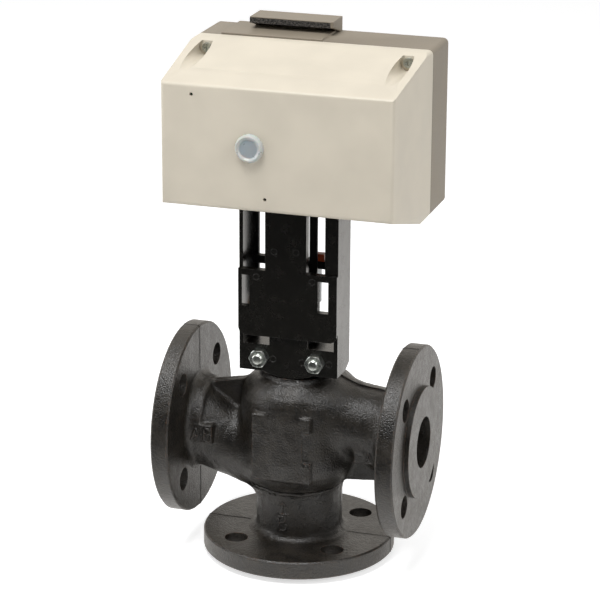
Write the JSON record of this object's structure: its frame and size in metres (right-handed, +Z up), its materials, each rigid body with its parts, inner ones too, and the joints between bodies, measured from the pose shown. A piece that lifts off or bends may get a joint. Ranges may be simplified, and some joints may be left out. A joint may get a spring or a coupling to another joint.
{
  "type": "three-way control valve",
  "caption": "Flanged three-way mixing valve in cast iron, its stem lifted by an electric rack-and-pinion actuator on a clamped yoke, with a pull-out access plug.",
  "frame": {"origin": "centre of the bottom port's sealing face", "axes": "+Z up along the stem, X along the two side ports with +X towards port A, -Y towards the front of the actuator"},
  "size_m": [0.2, 0.15, 0.4113],
  "materials": {
    "cast_iron": "painted satin black",
    "machined_steel": "turned and ground",
    "ground_steel": "ground and polished",
    "yoke_black": "satin black coat",
    "zinc": "bright zinc plate",
    "gasket": "matt",
    "bronze": "turned",
    "brass_gear": "cut teeth",
    "packing": "pressed fluoropolymer",
    "scale_black": "moulded",
    "cast_alloy": "die cast",
    "indicator_red": "moulded",
    "sheet_steel": "galvanised sheet",
    "cam_plastic": "moulded acetal",
    "board_green": "glass fibre laminate",
    "base_taupe": "moulded, fine texture",
    "cover_beige": "moulded, fine texture",
    "plug_clear": "translucent moulding",
    "foam": "open cell foam"
  },
  "bodies": {
    "root": {"valve_body": "cast_iron", "lower_seat_ring": "machined_steel", "upper_seat_ring": "machined_steel", "bonnet": "machined_steel", "bonnet_gasket": "gasket", "stem_guide_bush": "bronze", "stem_packing": "packing", "gland_nut": "bronze", "yoke": "yoke_black", "u_bolt": "zinc", "u_bolt_nuts": "zinc", "travel_scale": "scale_black", "bearing_block": "cast_alloy", "spindle_bush": "bronze", "yoke_screws": "zinc", "spindle_top_guide": "cast_alloy", "guide_screws": "zinc", "front_gear_plate": "sheet_steel", "rear_gear_plate": "sheet_steel", "plate_pillars": "brass_gear", "plate_screws": "zinc", "output_bushes": "bronze", "limit_switches": "scale_black", "idler_bushes": "bronze", "gear_motor": "sheet_steel", "motor_screws": "zinc", "circuit_board": "board_green", "board_spacers": "cam_plastic", "terminal_block": "board_green", "actuator_base": "base_taupe", "cover": "cover_beige", "cover_gasket": "gasket", "cover_screws": "zinc", "entry_seal": "foam"},
    "drive_shaft": {"output_shaft": "machined_steel", "rack_pinion": "machined_steel", "output_gear": "brass_gear", "limit_cams": "cam_plastic"},
    "stem": {"valve_stem": "ground_steel", "valve_plug": "machined_steel", "plug_lock_nut": "machined_steel", "coupling_front": "cast_alloy", "coupling_rear": "cast_alloy", "coupling_screws": "zinc", "guide_arm": "scale_black", "stroke_indicator": "indicator_red", "rack_spindle": "ground_steel"},
    "idler": {"idler_shaft": "machined_steel", "idler_pinion": "machined_steel", "idler_gear": "brass_gear"},
    "motor_rotor": {"motor_pinion": "machined_steel"},
    "plug_cap": {"access_plug": "plug_clear"}
  },
  "joints": [
    {"name": "stem_lift", "type": "slide", "parent": "root", "child": "stem", "axis": [0, 0, 1], "range_m": [0, 0.0165]},
    {"name": "output_turn", "type": "hinge", "parent": "root", "child": "drive_shaft", "pos_m": [-0.02, 0, 0.3384], "axis": [0, -1, 0], "range_deg": [0, 70.1]},
    {"name": "idler_turn", "type": "hinge", "parent": "root", "child": "idler", "pos_m": [0.02226, 0, 0.34972], "axis": [0, 1, 0], "range_deg": [0, 338.6]},
    {"name": "motor_turn", "type": "hinge", "parent": "root", "child": "motor_rotor", "pos_m": [0.04492, 0, 0.33916], "axis": [0, -1, 0], "range_deg": [0, 1355]},
    {"name": "plug_pull", "type": "slide", "parent": "root", "child": "plug_cap", "axis": [0, -1, 0], "range_m": [0, 0.012]}
  ],
  "couplings": [
    {"joint": "output_turn", "follows": "stem_lift", "rad_per_m": 74.074},
    {"joint": "idler_turn", "follows": "stem_lift", "rad_per_m": 358.02},
    {"joint": "motor_turn", "follows": "stem_lift", "rad_per_m": 1432.1}
  ]
}
